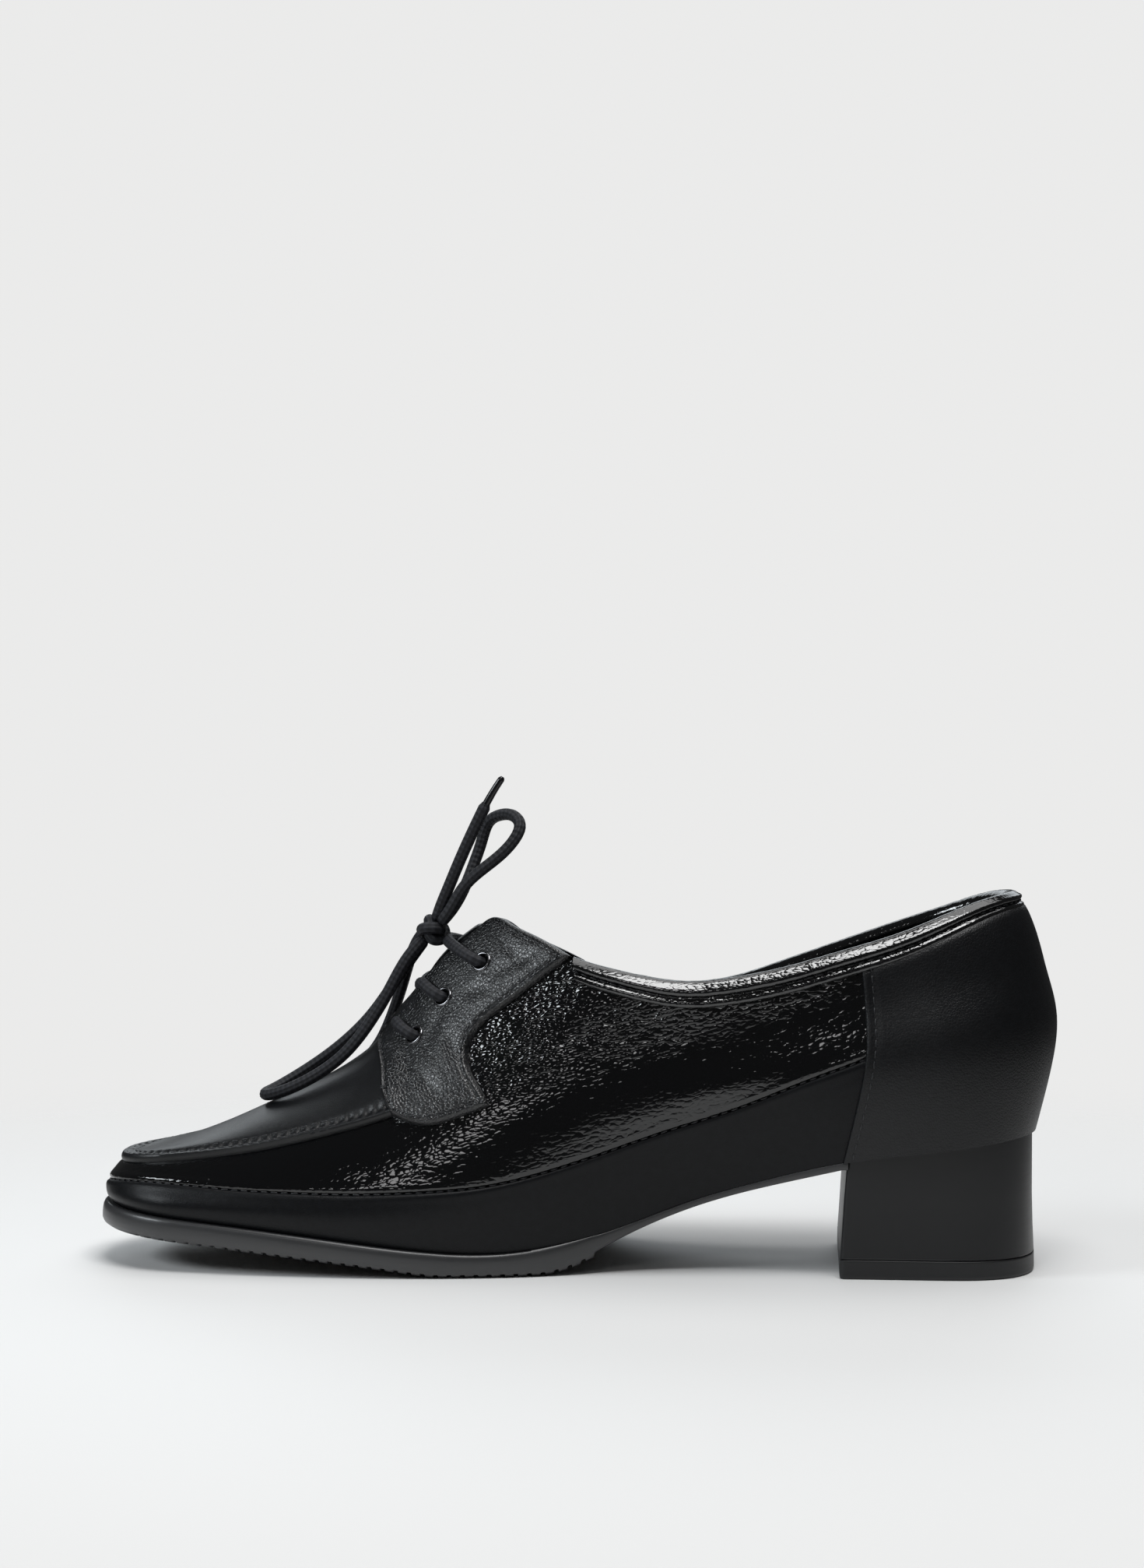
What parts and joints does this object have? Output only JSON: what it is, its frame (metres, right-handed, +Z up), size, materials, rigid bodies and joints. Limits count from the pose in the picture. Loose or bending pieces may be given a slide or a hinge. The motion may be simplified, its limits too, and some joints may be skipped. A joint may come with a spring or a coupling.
{
  "type": "heeled derby shoe",
  "caption": "Laced leather derby shoe for the right foot, with a moc-toe apron, patent sides, a bound collar, a ribbed rubber sole and a block heel.",
  "frame": {"origin": "on the floor under the middle of the shoe's box, bow left out", "axes": "+X from toe to heel, +Y to the outer side of the foot, +Z up"},
  "size_m": [0.2534, 0.0815, 0.1289],
  "materials": {
    "patent_leather": "crinkled patent gloss",
    "smooth_leather": "satin",
    "grained_leather": "fine pebble grain, satin",
    "insole_leather": "matte",
    "sole_rubber": "matte",
    "heel_plastic": "satin",
    "eyelet_metal": "polished rim",
    "lace_cord": "waxed round braid",
    "aglet_plastic": "gloss"
  },
  "bodies": {
    "root": {"upper": "patent_leather", "collar_binding": "patent_leather", "apron": "smooth_leather", "heel_counter": "smooth_leather", "tongue": "smooth_leather", "facing_inner": "grained_leather", "facing_outer": "grained_leather", "insole": "insole_leather", "outsole": "sole_rubber", "heel_top_lift": "sole_rubber", "heel_block": "heel_plastic", "eyelet_inner_1": "eyelet_metal", "eyelet_inner_2": "eyelet_metal", "eyelet_inner_3": "eyelet_metal", "eyelet_outer_1": "eyelet_metal", "eyelet_outer_2": "eyelet_metal", "eyelet_outer_3": "eyelet_metal", "lace_bar_1": "lace_cord", "lace_bar_2": "lace_cord", "lace_bar_3": "lace_cord", "lace_knot": "lace_cord", "lace_loop_up": "lace_cord", "lace_loop_front": "lace_cord", "lace_end_up": "lace_cord", "lace_end_far": "lace_cord", "aglet_up": "aglet_plastic", "aglet_far": "aglet_plastic"}
  },
  "joints": []
}
